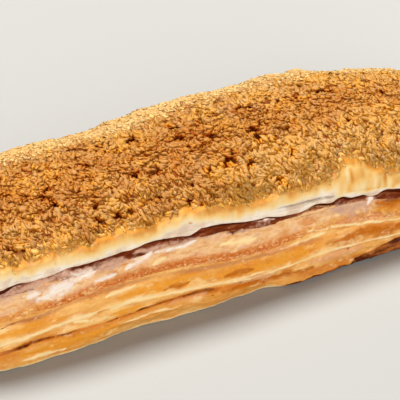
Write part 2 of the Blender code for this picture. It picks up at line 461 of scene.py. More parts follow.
# Strokes on the side that shows: half thickness, then the (x, z) places that they run through, all in mm
WHITE_SMEARS = (
    (0.75, (-49, 16.7), (-45.5, 16.2)),
    (1.45, (-46, 15), (-41, 15.9), (-37.5, 16.6), (-33.5, 17.5)),
    (0.5, (-33, 15.3), (-28.5, 15.6)),
    (0.75, (-20.6, 17.9), (-23, 16.9), (-26, 15.9)),
    (0.4, (-19.6, 17.8), (-14.4, 17.2), (-10, 17.5)),
    (0.16, (4.8, 17.8), (8.4, 17.1)),
    (0.42, (30.6, 17.4), (30.6, 15.2), (30.1, 13.2)),
    (0.6, (43, 13.6), (47, 12.4)),
    (0.8, (-60, 15), (-56.5, 15.6)),
)
MAUVE_SMEARS = (
    (1.4, (-57, 17.2), (-50, 18.6), (-43, 18.8), (-36, 18.8)),
    (0.6, (-48, 15.2), (-46, 15)),
    (1.2, (-39, 18.4), (-31, 18.3), (-26, 17.8)),
    (0.9, (-24, 18.8), (-17.3, 18.7), (-9.5, 18)),
    (0.5, (2.9, 17.9), (8.2, 16.9)),
    (1.7, (21.8, 14.7), (29.6, 13.9)),
    (0.95, (30.6, 17.4), (30.3, 14.5), (29.6, 12)),
    (0.7, (12.5, 16.2), (17, 15.8), (20.5, 15.4)),
    (1.1, (41, 12.9), (50, 11.4)),
)
PEACH_SMEARS = (
    (1, (9, 15.6), (15, 16.2), (22, 15.4)),
    (0.6, (24, 13.9), (30, 12.6)),
    (0.6, (-46, 17.6), (-41, 18)),
)
BROWN_SMEARS = (
    (0.4, (-37.4, 19.8), (-31.7, 19.6), (-26.5, 19.9)),
    (0.8, (-22.5, 20.3), (-17.3, 20.2), (-9.5, 19.4), (-2.5, 18.4)),
    (0.95, (-4.5, 18.2), (0, 17.6), (3.6, 17.2)),
    (0.45, (7.6, 16.5), (13.6, 16.8)),
    (0.4, (-2, 17.3), (-1.4, 16.2)),
    (0.35, (9, 16.2), (15, 16.4), (19, 16.2)),
    (0.8, (22.8, 16.6), (29.2, 15.7)),
    (1.1, (32.2, 15), (38, 13.8), (44, 12.8)),
)


def smears(points):
    """The cream and the dark sweet smeared over the upper side: how much of each covers a point."""
    return {
        "mauve": strokes(points, MAUVE_SMEARS),
        "white": strokes(points, WHITE_SMEARS),
        "brown": strokes(points, BROWN_SMEARS),
    }


# ---- cream

CREAM_COLUMNS = 880
INNER_SHARES = (0.7, 0.9)  # of the rows under the cream
LIP_STEPS = 24
# These rows, with those under the cream, are painted dark brown: stained where they lie on the dark layer,
# and painted shade under the lip
STAINED_STEPS = 7  # how many of them lie on the dark layer
LIP_THICKNESS = 0.03  # half the bead, as a share of the way out
LIP_RISE = 0.64 * MM
DOME_RISE = 12.5 * MM
FINE_ROW = 0.17 * MM
COARSE_ROW = 0.4 * MM
FINE_REACH = 5.6 * MM
PIT_CLUSTERS = 140
PITS_A_CLUSTER = 3
PIT_SPREAD = 1.1 * MM
PIT_RADII = (0.45 * MM, 1.25 * MM)
# Where along the bar each begins, is whole, begins to fade and ends, in mm
MELTED_ZONE = (20.5, 23.5, 44, 56)
SECOND_SHEET = (6, 12, 20.5, 22.2)

# How far the lip hangs below the cream's underside along the bar: (x, droop) in mm
LIP_DROOP = (
    (-69, 0.3), (-54, 0.5), (-51.3, 0.3), (-49, 0.5), (-45, 0.45), (-43, 0.3), (-40.6, -0.25),
    (-37, -0.2), (-33, -0.5), (-29.5, -0.65), (-27.2, -0.4), (-25, -0.1), (-23.2, -0.25), (-21.8, -0.6),
    (-19.1, -0.6), (-17.7, 0), (-15.5, 0.25), (-12.3, 0.7), (-10.9, 0.45), (-9.5, -0.35), (-7.5, -0.4),
    (-4, -0.1), (0.2, 0.45), (4.3, 0.5), (6, 0.35), (8.5, 0.85), (12, 0.8), (14.1, 0.65), (16.9, 0.4),
    (18.4, 0.6), (20, 1.05), (21.6, 1.05), (22.6, 0.6), (23.3, 0.5), (25.7, 1.1), (28.7, 1),
    (29.7, 1.4), (31.5, 1.35), (33.3, 0.6), (37, 0.4), (44, 0.3), (56, 0.4), (69, 0.3),
)
# Where the coat of crumbs begins above the cream's underside: (x, height) in mm
COAT_LINE = (
    (-69, 3.4), (-53, 3.9), (-50, 2.8), (-46, 3.4), (-40, 3.5), (-33, 3.6), (-26, 3.8), (-22, 3),
    (-16, 4), (-11, 4.2), (-7, 3.2), (-2, 3.4), (2, 3.2), (6, 3.6), (11, 4), (18, 3.8), (22, 4.2),
    (24.5, 6.2), (29, 5.6), (33, 3.8), (40, 3.4), (69, 3.2),
)
# The upper edge of the second sheet of icing, above the cream's underside: (x, height) in mm
CREASE_LINE = (
    (4, 1.7), (9, 1.3), (12, 1.15), (14.3, 1.05), (16.7, 0.9), (18.8, 0.7), (20.6, 0.45), (24, 0.1),
)
# How far the coat's surface is raised over the ridge: (x, rise) in mm
TOP_TRIM = (
    (-69, -0.2), (-36, -0.3), (-30, -0.2), (-24, -0.4), (-19, -0.8), (-15, -0.6), (-12, 0), (-9, -0.2),
    (-5, 0.6), (1, 0.7), (5, 0.9), (9, 0.4), (15, 0.3), (20, 0.6), (25, 0.9), (28, 0.4), (31, 0.7),
    (35, -0.1), (39, -0.4), (44, 0), (49, -0.3), (53, -0.7), (69, -0.8),
)


def lip_droop(edge):
    """How far the lip hangs below the cream's underside."""
    wander = grains(at_height(edge, 0), (0.12, 4, 41), (0.12, 1.8, 42), (0.08, 0.9, 43))
    return MM * np.clip(along(LIP_DROOP, edge[:, 0]) + wander, -0.55, 1.7)


def cream_edge(columns):
    edge = outline(columns, CREAM_WIDTH)
    swell = grains(at_height(edge, 0), (0.5, 14, 31), (0.25, 4, 32))
    return ring(edge, 1, swell * MM)


def dome_shares():
    """Shares of the dome's rows: closely spaced over the bare border, then wider."""
    angle = np.linspace(0.0005, math.pi / 2, 4000)
    share = np.cos(angle) ** (2 / DOME_POWER)
    rise = DOME_RISE * np.sin(angle) ** (2 / DOME_POWER)
    walked = np.concatenate([[0], np.cumsum(np.hypot(np.diff(share) * CREAM_WIDTH / 2, np.diff(rise)))])
    low = np.arange(0, FINE_REACH, FINE_ROW)
    high = np.arange(FINE_REACH, walked[-1] - COARSE_ROW / 2, COARSE_ROW)
    return np.interp(np.concatenate([low, high]), walked, share)


def dome_places(rng, count):
    """Places spread over the dome by its area, with the way out, round the bar and uphill there."""
    edge = cream_edge(600)
    level = np.zeros(len(edge))
    share = np.concatenate([np.linspace(0.9985, 0.9, 20), np.linspace(0.88, 0.01, 50)])
    grid = np.array([dome_ring(edge, s, level) for s in share])
    here, beside, above = grid[:-1], np.roll(grid, -1, axis=1)[:-1], grid[1:]
    across, up = beside - here, above - here
    normal = np.cross(across, up)
    area = np.linalg.norm(normal, axis=2)
    pick = rng.choice(area.size, count, p=(area / area.sum()).ravel())
    a, b = rng.random((2, count, 1))
    place = here.reshape(-1, 3)[pick] + a * across.reshape(-1, 3)[pick] + b * up.reshape(-1, 3)[pick]
    normal = (normal / area[..., None]).reshape(-1, 3)[pick]
    across = across.reshape(-1, 3)[pick]
    across = across / np.linalg.norm(across, axis=1)[:, None]
    return place, normal, across, np.cross(normal, across)


def coat_depth(points):
    """How far in from the coat's edge each dome point is, in mm."""
    ragged = grains(points * [1, 1, 0], (0.55, 4.5, 51), (0.5, 1.6, 52))
    return (points[:, 2] - underside(points[:, 0])) / MM - along(COAT_LINE, points[:, 0]) - ragged


def far_side(points):
    """1 on the back of the dome, where the coat is fine and floury, and 0 on the side that shows."""
    return smooth(0, 12, points[:, 1] / MM + 2 * grain(points, 4, 55))


def melted_zone(points):
    """Where the coat has melted to a smooth yellow: by the thinner end, low on the side that shows."""
    x, y, _ = points.T / MM
    begins, whole, fades, ends = MELTED_ZONE
    return smooth(begins, whole, x + 0.8 * grain(points, 2, 56)) * (1 - smooth(fades, ends, x)) * (y < 0)


def coat_relief(points):
    """How far the surface under the crumbs stands out from the smooth dome with its lumps and pits, in mm."""
    x, y, _ = points.T
    far = far_side(points)
    lump = grains(points, (0.3, 1.4, 81), (0.5, 2.8, 88), (0.4, 6, 82))
    lump = lump * (1 - 0.4 * far) + 0.12 * far * grain(points, 0.9, 103)
    trim = along(TOP_TRIM, x) * smooth(-5 * MM, 9 * MM, y)
    return smooth(-0.2, 1.6, coat_depth(points)) * (lump - 0.26 + 0.1 * far + trim - 0.9 * pits(points))


def pit_places():
    """Centres and radii of the coat's dark gaps, in loose clusters."""
    rng = np.random.default_rng(61)
    centres = np.repeat(dome_places(rng, PIT_CLUSTERS)[0], PITS_A_CLUSTER, axis=0)
    centres = centres + rng.normal(0, PIT_SPREAD, centres.shape)
    low, high = np.array(PIT_RADII) / MM
    return centres, MM * rng.uniform(low, high, len(centres))


def pits(points, wider=0.0):
    """Where the coat has deep dark gaps: 1 in their middles. Their edges may be moved out."""
    warp = np.column_stack([grain(points, 1.1, seed) for seed in (62, 63, 64)])
    warped = points + 0.4 * MM * warp
    depth = np.zeros(len(points))
    for centre, radius in zip(*pit_places()):
        radius = radius + wider
        near = np.flatnonzero(np.abs(warped[:, 0] - centre[0]) < 2 * radius)
        away = np.linalg.norm(warped[near] - centre, axis=1) / radius
        depth[near] = np.maximum(depth[near], 1 - smooth(0.5, 1.15, away))
    return depth * (1 - smooth(0.2, 0.6, far_side(points)))


def crease(points):
    """Where on the front a second sheet of icing hangs below the first, and heights above its edge in mm."""
    x, y, z = points.T
    begins, whole, fades, ends = SECOND_SHEET
    stretch = smooth(begins, whole, x / MM) * (1 - smooth(fades, ends, x / MM)) * (y < 0)
    line = along(CREASE_LINE, x) + 0.08 * grain(points * [1, 0, 0], 1.6, 71)
    return stretch, (z - underside(x)) / MM - line


def lip_rows(edge):
    """Rows from under the cream, round the hanging lip, to the foot of the dome."""
    rows = []
    for share in INNER_SHARES:
        plan = ring(edge, share)
        rows.append(at_height(plan, underside(plan[:, 0]) + 0.1 * MM))
    droop = lip_droop(edge)
    for angle in np.linspace(-math.radians(165), 0, LIP_STEPS):
        share = 1 + LIP_THICKNESS * (math.cos(angle) - 1)
        plan = ring(edge, share)
        drop = (LIP_RISE + droop) * math.sin(angle)
        places = at_height(plan, underside(plan[:, 0]) + LIP_RISE + drop)
        stretch, off = crease(places)
        sheet = stretch * (0.3 * (1 - smooth(-0.2, 0.02, off)) - 0.1 * bell(0.08, 0.14, off))
        sheet = sheet + 0.1 * grain(places, (1.6, 1.6, 4), 86)
        rows.append(at_height(ring(edge, share, sheet * MM), places[:, 2]))
    return rows


def dome_rows(edge):
    """Rows up the dome: softly uneven on the bare border, and rough where the crumbs stand on it."""
    rows = []
    for share in dome_shares():
        base = dome_ring(edge, share, np.zeros(len(edge)))
        depth = coat_depth(base)
        bumps = grains(base, (0.2, 2.5, 83), (0.07, 0.9, 85), (0.12, (1.3, 1.3, 4), 89))
        bumps = bumps + 0.22 * grain(base, (0.9, 0.9, 1.4), 102) * smooth(-1.8, 0.4, depth)
        stretch, off = crease(base)
        sheet = stretch * (0.3 * (1 - smooth(-0.2, 0.02, off)) - 0.25 * bell(0.08, 0.16, off))
        raised = coat_relief(base) + (1 - smooth(0.2, 1.6, depth)) * bumps + sheet
        rows.append(dome_ring(edge, share, raised * MM))
    return rows


def cream_paints(points, lip_points):
    """Where the crumbs, pits, crease and dark layer colour the cream, with painted shade in the crease and
    under the lip. The lip's points come first.
    """
    depth = coat_depth(points)
    depth[:lip_points] = -9  # far outside the coat
    dust = smooth(-3.1, 1.0, depth + 0.5 * grain(points, 1.5, 84))
    low = (points[:, 2] - underside(points[:, 0])) / MM
    melted = melted_zone(points) * smooth(-0.7, 0.9, low + 0.6 * grain(points, 1.2, 90))
    runs = 0.6 + grains(points, (0.35, (0.9, 0.9, 5), 99), (0.2, 1.8, 101))
    dust = dust + melted * (np.maximum(dust, runs) - dust)
    stretch, off = crease(points)
    # Painted shadow in the crease, a grey line along its fold
    crease_shadow = stretch * bell(0.06, 0.15, off) * smooth(-0.6, 0.1, grain(points, 2.0, 87) + 0.3)
    coat = smooth(1.0, 3.2, depth)
    # The first rows are painted dark brown: partly stained by the dark layer, partly painted shade under the
    # lip
    stain = np.zeros(len(points))
    stain[: (len(INNER_SHARES) + STAINED_STEPS) * CREAM_COLUMNS] = 1
    return {
        "coat": coat,
        "dust": dust * (1 - stretch * (1 - smooth(-0.2, 0.8, off))),
        "far": smooth(-1.5, 1.0, depth) * far_side(points),
        "pit": coat * pits(points),
        "crease": 0.8 * crease_shadow,
        "stain": stain,
    }


def make_cream():
    """The cream with its lip and its border, and the rough surface that the crumbs stand on."""
    edge = cream_edge(CREAM_COLUMNS)
    lip = lip_rows(edge)
    rows = lip + dome_rows(edge)
    points = np.concatenate(rows)
    faces = loft_faces(len(rows), CREAM_COLUMNS)
    made = make_object("cream", points, faces, cream_finish(), cream_paints(points, len(lip) * CREAM_COLUMNS))
    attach(made, "root")
    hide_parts("crumbed_cream")


# ---- crumbs

CRUMB_SPOTS = 32500  # before they are thinned out
# From dark to pale: the colours of a crumb's deep, middle and pale places. Besides the crumbs' own spread of
# toasting, the tone paints the deep ones as shade among the crumbs and the pale ones as light on their tops
CRUMB_KINDS = (
    ("crumbs_brown", ((122, 40, 0), (164, 96, 30), (172, 124, 76))),
    ("crumbs_toasted", ((134, 48, 0), (176, 110, 40), (176, 130, 84))),
    ("crumbs_golden", ((146, 58, 0), (186, 123, 46), (182, 140, 92))),
    ("crumbs_pale", ((174, 80, 0), (204, 139, 46), (192, 150, 96))),
    ("crumbs_buttery", ((204, 102, 0), (236, 160, 48), (228, 178, 102))),
    ("crumbs_floury", ((206, 140, 62), (220, 172, 96), (218, 182, 124))),
)
MOOD_STEPS = (0.2, 0.54, 0.8)  # between the first four kinds
BUTTERY = 4
FLOURY = 5
FLAKE_STEPS = 4
FLAKE_ROWS = 3
FLAKE_WIDTHS = np.array([0.55, 1.0, 0.95, 0.5])
FLAKE_POINTS = FLAKE_ROWS * FLAKE_STEPS + 1
RIDGED = np.array([0, 0.13, 0])[None, :, None]  # how far a flake's middle row stands up
# A grid over the unrolled dome, to find how deep the crumbs' points lie
CELL = 0.25 * MM
CELLS = 320  # from the middle to each edge
NEIGHBOURS = 2


def crumb_shapes(rng, width):
    """Ragged flakes of unit length and these widths, each of a few joined strands with a point under them."""
    count = len(width)
    shape = (count, FLAKE_ROWS, FLAKE_STEPS)
    strand = (count, FLAKE_ROWS, 1)
    t = np.linspace(0, 1, FLAKE_STEPS)
    x = t - 0.5 + rng.uniform(-0.2, 0.12, strand) * (1 - t) + rng.uniform(-0.12, 0.2, strand) * t
    half = 0.5 * width[:, None, None] * FLAKE_WIDTHS * rng.uniform(0.8, 1.2, (count, 1, FLAKE_STEPS))
    y = np.linspace(-1, 1, FLAKE_ROWS)[None, :, None] * half + rng.uniform(-0.02, 0.02, shape)
    z = rng.uniform(-0.07, 0.07, strand) + rng.uniform(-0.03, 0.03, shape)
    z = z + RIDGED
    curl, cup, twist = rng.uniform((-0.5, -0.2, -0.9), (0.9, 1.0, 0.9), (count, 3)).T[:, :, None, None]
    z = z - curl * x**2 - cup * y**2 + twist * x * y
    points = np.stack([x, y, z], axis=3).reshape(count, -1, 3)
    belly = np.zeros((count, 1, 3))
    belly[:, 0, 2] = points[:, :, 2].mean(axis=1) - 0.2
    return np.concatenate([points, belly], axis=1)


def crumb_faces():
    """The triangles of one crumb: its back as a grid, and its belly as a fan."""
    faces = []
    for row in range(FLAKE_ROWS - 1):
        for i in range(FLAKE_STEPS - 1):
            a = row * FLAKE_STEPS + i
            b = a + FLAKE_STEPS
            faces += [(a, a + 1, b + 1), (a, b + 1, b)]
    starts = [row * FLAKE_STEPS for row in range(1, FLAKE_ROWS - 1)]
    belly = FLAKE_ROWS * FLAKE_STEPS
    rim = [*range(FLAKE_STEPS), *(start + FLAKE_STEPS - 1 for start in starts)]
    rim += [*range(belly - 1, belly - 1 - FLAKE_STEPS, -1), *starts[::-1]]
    for here, after in zip(rim, rim[1:] + rim[:1]):
        faces.append((after, here, belly))
    return np.array(faces)


def upward(points, triangles):
    """How far the surface at each point of each crumb faces up: 1 for level, 0 for upright or below."""
    a, b, c = (points[:, triangles[:, i]] for i in range(3))
    normals = np.cross(b - a, c - a)
    total = np.zeros_like(points)
    for corner in range(3):
        for face, point in enumerate(triangles[:, corner]):
            total[:, point] += normals[:, face]
    return np.clip(total[:, :, 2] / np.linalg.norm(total, axis=2), 0, 1)


def turned(first, second, angle):
    """The first direction turned towards the second."""
    return first * np.cos(angle) + second * np.sin(angle)


def sunk_depth(base, rise):
    """How far each point lies below the highest crumbs round it, in mm, from its base and its rise."""
    x, y, z = base.T
    across = np.sign(y) * (np.abs(y) + heights(RIDGE, x) - z)
    column, row = (np.round(way / CELL).astype(int) + CELLS for way in (x, across))
    tops = np.full((2 * CELLS, 2 * CELLS), -1.0)
    np.maximum.at(tops, (column, row), rise)
    reach = range(-NEIGHBOURS, NEIGHBOURS + 1)
    near = [(i, j) for i in reach for j in reach if i * i + j * j <= NEIGHBOURS**2 + 1]
    highest = np.max([np.roll(tops, step, (0, 1)) for step in near], axis=0)
    level = np.mean([np.roll(highest, step, (0, 1)) for step in near], axis=0)
    return level[column, row] - rise


class Spots:
    """Places on the dome for crumbs, and how far each lies in each zone of the coat, from 0 to 1."""

    def __init__(self, rng):
        frames = dome_places(rng, CRUMB_SPOTS)
        inside = coat_depth(frames[0]) + rng.normal(0, 0.25, CRUMB_SPOTS)
        chance = np.maximum(smooth(-0.3, 0.9, inside), 0.1 * smooth(-2.2, -0.4, inside))
        chance = chance * (1 - 0.6 * pits(frames[0])) * (1 - 0.3 * far_side(frames[0]))
        keep = rng.random(CRUMB_SPOTS) < chance
        self.place, self.normal, self.across, self.uphill = (values[keep] for values in frames)
        self.inside = inside[keep]
        self.count = len(self.inside)
        x, y, _ = self.place.T / MM
        self.relief = coat_relief(self.place)
        self.far = far_side(self.place)
        self.ridge = bell(0, 7, y)
        self.front = smooth(-4, -16, y)
        # Towards the back the crumbs turn golden, partly a real dusting and partly painted light; on the
        # right front they are painted paler, as painted light
        self.golden = smooth(-9, 8, y) * (0.6 + 0.4 * smooth(-30, 0, x))
        self.painted_light = smooth(-8, 6, x) * smooth(-8, -13, y)
        reach = 2.6 + 1.4 * melted_zone(self.place) + 0.8 * grain(self.place, 5, 96)
        self.border = (1 - smooth(0.2, reach, self.inside)) * (1 - self.far)


def laid_crumbs(rng, spots):
    """The points of every crumb. They lie down the slope, turned in drifts, and lean out a little."""
    count, far, border, front = spots.count, spots.far, spots.border, spots.front
    x, y, _ = spots.place.T / MM
    size = MM * np.clip(rng.lognormal(0.27, 0.28, count), 0.7, 2.0)
    size = size * (0.4 + 0.6 * smooth(-0.6, 2.4, spots.inside)) * (1 - 0.3 * far)
    width = rng.uniform(0.4, 0.8, count) * (1 + 0.2 * spots.ridge)
    yaw = grains(spots.place, (0.8, 5, 97), (0.5, 1.6, 94))
    yaw = yaw + 0.55 * smooth(-30, 0, x) * (y < 0) + 0.35 * front
    yaw = yaw + rng.normal(0, 1, count) * (0.6 + 0.3 * spots.ridge)
    lean = np.clip(rng.normal(0.13, 0.17, count), -0.2, 0.6)
    lean = lean * (1 - 0.7 * far) * (1 - 0.6 * border) * (1 - 0.4 * front)
    roll = rng.normal(0, 0.28, count) * (1 - 0.6 * far) * (1 - 0.4 * front)
    yaw, lean, roll = (angle[:, None] for angle in (yaw, lean, roll))
    length = turned(-spots.uphill, spots.across, yaw)
    flat_side = np.cross(spots.normal, length)
    length, face = turned(length, spots.normal, lean), turned(spots.normal, -length, lean)
    side, face = turned(flat_side, face, roll), turned(face, -flat_side, roll)
    lift = spots.relief + 0.02 + rng.uniform(-0.14, 0.14, count) * (1 - 0.8 * far)
    lift = lift - 0.16 * border - 0.05 * far
    shapes = crumb_shapes(rng, width)
    shapes[:, :, 2] *= ((1 - 0.45 * far) * (1 - 0.45 * border))[:, None]
    axes = np.stack([length, side, face], axis=1)
    centre = spots.place + spots.normal * (MM * lift)[:, None]
    return centre[:, None] + np.einsum("nvi,nij->nvj", shapes, axes) * size[:, None, None]


def crumb_kinds(rng, spots):
    """The number of each crumb's kind: in patches, but buttery at the border and floury at the back."""
    x, y, _ = spots.place.T / MM
    patch = grains(spots.place, (0.5, 2.6, 92), (0.35, 6, 98))
    mood = 0.42 + 0.6 * patch + rng.normal(0, 0.12, spots.count)
    # Paler kinds at the front and on the right front are painted light; towards the back they are partly a
    # real golden dusting and partly painted light; at the border they are buttery
    mood = mood + 0.5 * spots.golden + 0.2 * spots.front + 0.8 * spots.border + 0.35 * spots.painted_light
    mood = mood + 0.12 * smooth(16, 30, x) * (1 + 1.5 * smooth(0, 8, y))
    kinds = np.digitize(mood, MOOD_STEPS)
    kinds[rng.random(spots.count) < 1.6 * spots.border - 0.2] = BUTTERY
    floury = smooth(0.2, 1.1, spots.far) * (1 - 0.5 * smooth(11, 16, y))
    kinds[rng.random(spots.count) < floury] = FLOURY
    return kinds


def crumb_tones(rng, spots, points, triangles):
    """How light each point of each crumb is painted: lighter where it faces up, as painted light from above,
    and darker deep among the others, as painted shade.
    """
    tone = 0.52 + 0.1 * grain(spots.place, 1.4, 93) + rng.normal(0, 0.03, spots.count)
    # Painted light: the crumbs are paler at the front, at the border and on the right front, and towards the
    # back partly so and partly from a real golden dusting
    tone = tone + 0.12 * spots.front + 0.18 * spots.golden + 0.25 * spots.border + 0.1 * spots.painted_light
    # Crumbs in the pits are darker: partly their own deeper toasting, partly painted shade in the hollows
    tone = tone - 0.8 * pits(spots.place, 0.1 * MM)
    rise = np.einsum("nvi,ni->nv", points - spots.place[:, None], spots.normal) / MM
    base = points - rise[:, :, None] * MM * spots.normal[:, None]
    sunk = sunk_depth(base.reshape(-1, 3), (rise - spots.relief[:, None]).ravel()).reshape(rise.shape)
    far, border = spots.far[:, None], spots.border[:, None]
    # Painted shade: points sunk among the crumbs round them are darker. Painted light: points facing up are
    # paler
    depth = np.clip(0.22 - 0.68 * sunk, -0.5, 0.18) * (1 - 0.6 * border) * (1 - 0.4 * far)
    painted_top_light = 0.42 * (upward(points, triangles) - 0.62) * (1 - 0.5 * border) * (1 - 0.6 * far)
    return tone[:, None] + depth + painted_top_light


def make_crumbs():
    """The coat of flaky crumbs, one piece for each kind."""
    rng = np.random.default_rng(7)
    spots = Spots(rng)
    points = laid_crumbs(rng, spots)
    kinds = crumb_kinds(rng, spots)
    triangles = crumb_faces()
    tones = crumb_tones(rng, spots, points, triangles)
    for number, (name, shades) in enumerate(CRUMB_KINDS):
        mine = kinds == number
        faces = np.arange(mine.sum())[:, None, None] * FLAKE_POINTS + triangles
        strands = np.repeat(rng.normal(0, 0.05, (mine.sum(), FLAKE_ROWS)), FLAKE_STEPS, axis=1)
        paints = {"tone": (tones[mine] + np.pad(strands, ((0, 0), (0, 1)))).ravel()}
        finish = crumb_finish(name.replace("_", " "), *shades)
        made = make_object(name, points[mine].reshape(-1, 3), faces.reshape(-1, 3).tolist(), finish, paints)
        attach(made, "root")


# ---- dark layer

SPREAD_COLUMNS = 880
SPREAD_ROWS = 26
SPREAD_RISE = 0.9 * MM  # how far it reaches up behind the lip
SPREAD_SINK = 0.3 * MM  # and how far down into the pastry
SPREAD_SHARE = 0.955  # of the way out to the cream's edge
# Painted shadow: how wide the darkest line is that the lip's shade lays along the top of the dark layer: (x,
# width) in mm
LIP_SHADOW_THREAD = (
    (-69, 0.3), (-52, 0.5), (-50, 0.15), (-44, 0.1), (-40, 0.4), (-30, 0.6), (-25, 0.3), (-22, 0.8),
    (-16, 0.5), (-12, 0.2), (-10, 0.6), (0, 0.5), (7, 0.3), (12, 0.15), (16, 0.3), (22, 0.4), (28, 0.5),
    (30, 0), (33, 0.3), (69, 0.4),
)


def spread_paints(points, v):
    """Where cream lies on the dark layer, and where it is painted darkest, as the shadow under the lip. v is
    0 at its foot and 1 at its top.
    """
    laid = smears(points)
    loose = smooth(0.25, 0.95, rough_grain(points, (8, 8, 1.6), 121) - 0.7 * smooth(0.4, 1, v))
    x, _, z = points.T
    z = z / MM
    lip = (underside(x) - lip_droop(points[:, :2])) / MM - 0.25
    shadow_thread = along(LIP_SHADOW_THREAD, x) * (1 + 0.4 * grain(points, 3, 123))
    deep = 0.85 * smooth(lip - shadow_thread - 0.25, lip - shadow_thread + 0.1, z)
    return {
        "mauve": np.maximum(0.9 * laid["mauve"], 0.4 * loose) * (1 - 0.8 * laid["brown"]),
        "peach": strokes(points, PEACH_SMEARS) * (1 - laid["brown"]),
        "white": laid["white"],
        "deep": deep + 0.25 * smooth(lip - 2.2 * shadow_thread - 0.6, lip - shadow_thread, z),
    }


def make_spread():
    """The dark layer, bulging a little under the lip and smeared with cream."""
    edge = outline(SPREAD_COLUMNS, CREAM_WIDTH)
    rows = []
    shares = np.linspace(0, 1, SPREAD_ROWS)
    for v in shares:
        grow = MM * (-0.3 - 0.6 * v + 0.35 * math.sin(math.pi * v))
        plan = ring(edge, SPREAD_SHARE, grow)
        places = at_height(plan, pastry_top(plan[:, 0]) + (DARK_THICKNESS + SPREAD_RISE) * v)
        lumps = grains(places, (0.24, (5, 5, 1.2), 111), (0.12, 1.3, 112))
        laid = smears(places)
        lumps = lumps + 0.3 * laid["white"] + 0.12 * laid["mauve"] - 0.15 * laid["brown"]
        plan = ring(edge, SPREAD_SHARE, grow + lumps * MM)
        height = (SPREAD_SINK + DARK_THICKNESS + SPREAD_RISE) * v
        rows.append(at_height(plan, pastry_top(plan[:, 0]) - SPREAD_SINK + height))
    points = np.concatenate(rows)
    faces = loft_faces(SPREAD_ROWS, SPREAD_COLUMNS)
    paints = spread_paints(points, np.repeat(shares, SPREAD_COLUMNS))
    made = make_object("dark_spread", points, faces, spread_finish(), paints)
    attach(made, "root")
    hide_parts("dark_layer")


# ---- pastry

PASTRY_COLUMNS = 900
PASTRY_ROWS = 108

# Lines along the long sides, from the table up: (x, z) in mm
SIDE_LINES = {
    "seam": (
        (-69, 3.8), (-55, 4.8), (-46, 5.3), (-39, 4.9), (-31, 4.8), (-24, 5.1), (-19, 5.4), (-9, 5.1),
        (0, 4), (9, 3), (17, 1.9), (26, 1.3), (40, 1.5), (69, 1.9),
    ),
    "fold": (
        (-69, 5.2), (-50, 7), (-38, 7.9), (-25, 8.2), (-12, 6.7), (0, 5.3), (10, 5.2), (20, 5.5),
        (28, 5.1), (35, 4.3), (50, 3.8), (69, 3.3),
    ),
    "gap": (
        (-69, 7), (-54, 10.7), (-45, 10.9), (-34, 12.1), (-24, 12.1), (-12, 10.9), (0, 9.6), (10, 9.1),
        (20, 8.6), (28, 8.4), (36, 7.1), (52, 5.8), (69, 4.8),
    ),
    "rim": (
        (-69, 8.6), (-54, 12.2), (-45, 12.9), (-38, 13), (-33, 13.5), (-25, 13.8), (-18, 13.3),
        (-12, 12.7), (0, 11.1), (10, 11.1), (20, 11.7), (28, 11.2), (36, 9.4), (52, 7.4), (69, 5.9),
    ),
}

# The side's profile: heights from each of those lines, and how far out the side stands there, in mm
SIDE_PROFILE = {
    "floor": ((0, -0.3), (0.25, 0.08), (1.2, 0.22)),
    "seam": ((-1.2, 0.1), (-0.5, -0.35), (-0.1, -1.05), (0.06, -0.2), (0.3, 0.22)),
    "fold": ((-0.4, 0.3), (0.05, 0.45), (0.5, 0.1)),
    "gap": ((-1.2, -0.2), (-0.15, -0.8), (0.15, -0.8), (0.45, -0.1)),
    "rim": ((-0.4, 0.42), (0.4, 0.4), (1, 0.05)),
    "top": ((-1.6, -0.3), (0, -0.8)),
}

# How far the foot of the bar stands out on the side that shows: (x, reach) in mm
FOOT_LINE = (
    (-69, 0.2), (-53, 0.5), (-50, 0.3), (-43, -0.2), (-33, -0.5), (-30, -0.5), (-26, -0.8), (-18, -0.9),
    (-13, -0.7), (-8, -0.6), (-3, -0.9), (2, -1.1), (6, -1.2), (8, -0.6), (12, 0.5), (16, 0.5),
    (23, 0.3), (28, 0.2), (37, 0.1), (69, -0.2),
)
# How far up the dark underside shows: (x, height) in mm
UNDERSIDE_LINE = (
    (-69, -1), (8.5, -1), (10.5, 0.8), (12, 0.9), (14, 0.4), (16, 0.7), (18, 0.9), (21, 1), (24, 0.8),
    (25.5, 0.2), (27, 1.2), (30, 1.8), (33, 2.7), (35, 3.1), (38, 3.2), (46, 2.4), (56, 0.6), (62, -1),
    (69, -1),
)

# Pale streaks on the leaves: partly their own paler bake, partly painted highlights on crests and glossy
# places
PALE_STREAKS_AND_HIGHLIGHTS = (
    (0.35, (-58, 7), (-50, 7), (-43, 7.4)),
    (0.6, (-44.8, 7.2), (-38, 8), (-33, 7.8)),
    (0.28, (-38.4, 7.3), (-36.4, 7.1), (-33.8, 6.3)),
    (0.45, (-31, 10.8), (-24, 11.3)),
    (0.4, (-30, 7.6), (-24, 8.2), (-18, 7.4)),
    (0.3, (-18, 7.2), (-12, 6.7), (-5, 5.9)),
    (0.26, (-5, 5.9), (0, 5.3), (5.8, 5.2)),
    (0.2, (17.8, 5.4), (27.8, 5.1)),
    (0.42, (9.8, 9.1), (14.8, 9.3), (19, 10.1)),
    (0.28, (15.4, 11.4), (24.2, 10.3), (28.5, 9.3), (36.1, 7.9), (48, 6.9)),
    (0.8, (-4.5, 14.6), (-1, 14.2), (3.4, 13.6)),
    (0.3, (-50, 2), (-40, 1.6)),
    (0.26, (-27, 3.4), (-19, 3.6), (-14, 3.2)),
    (0.6, (-20.2, 15.1), (-17.3, 15.8)),
)
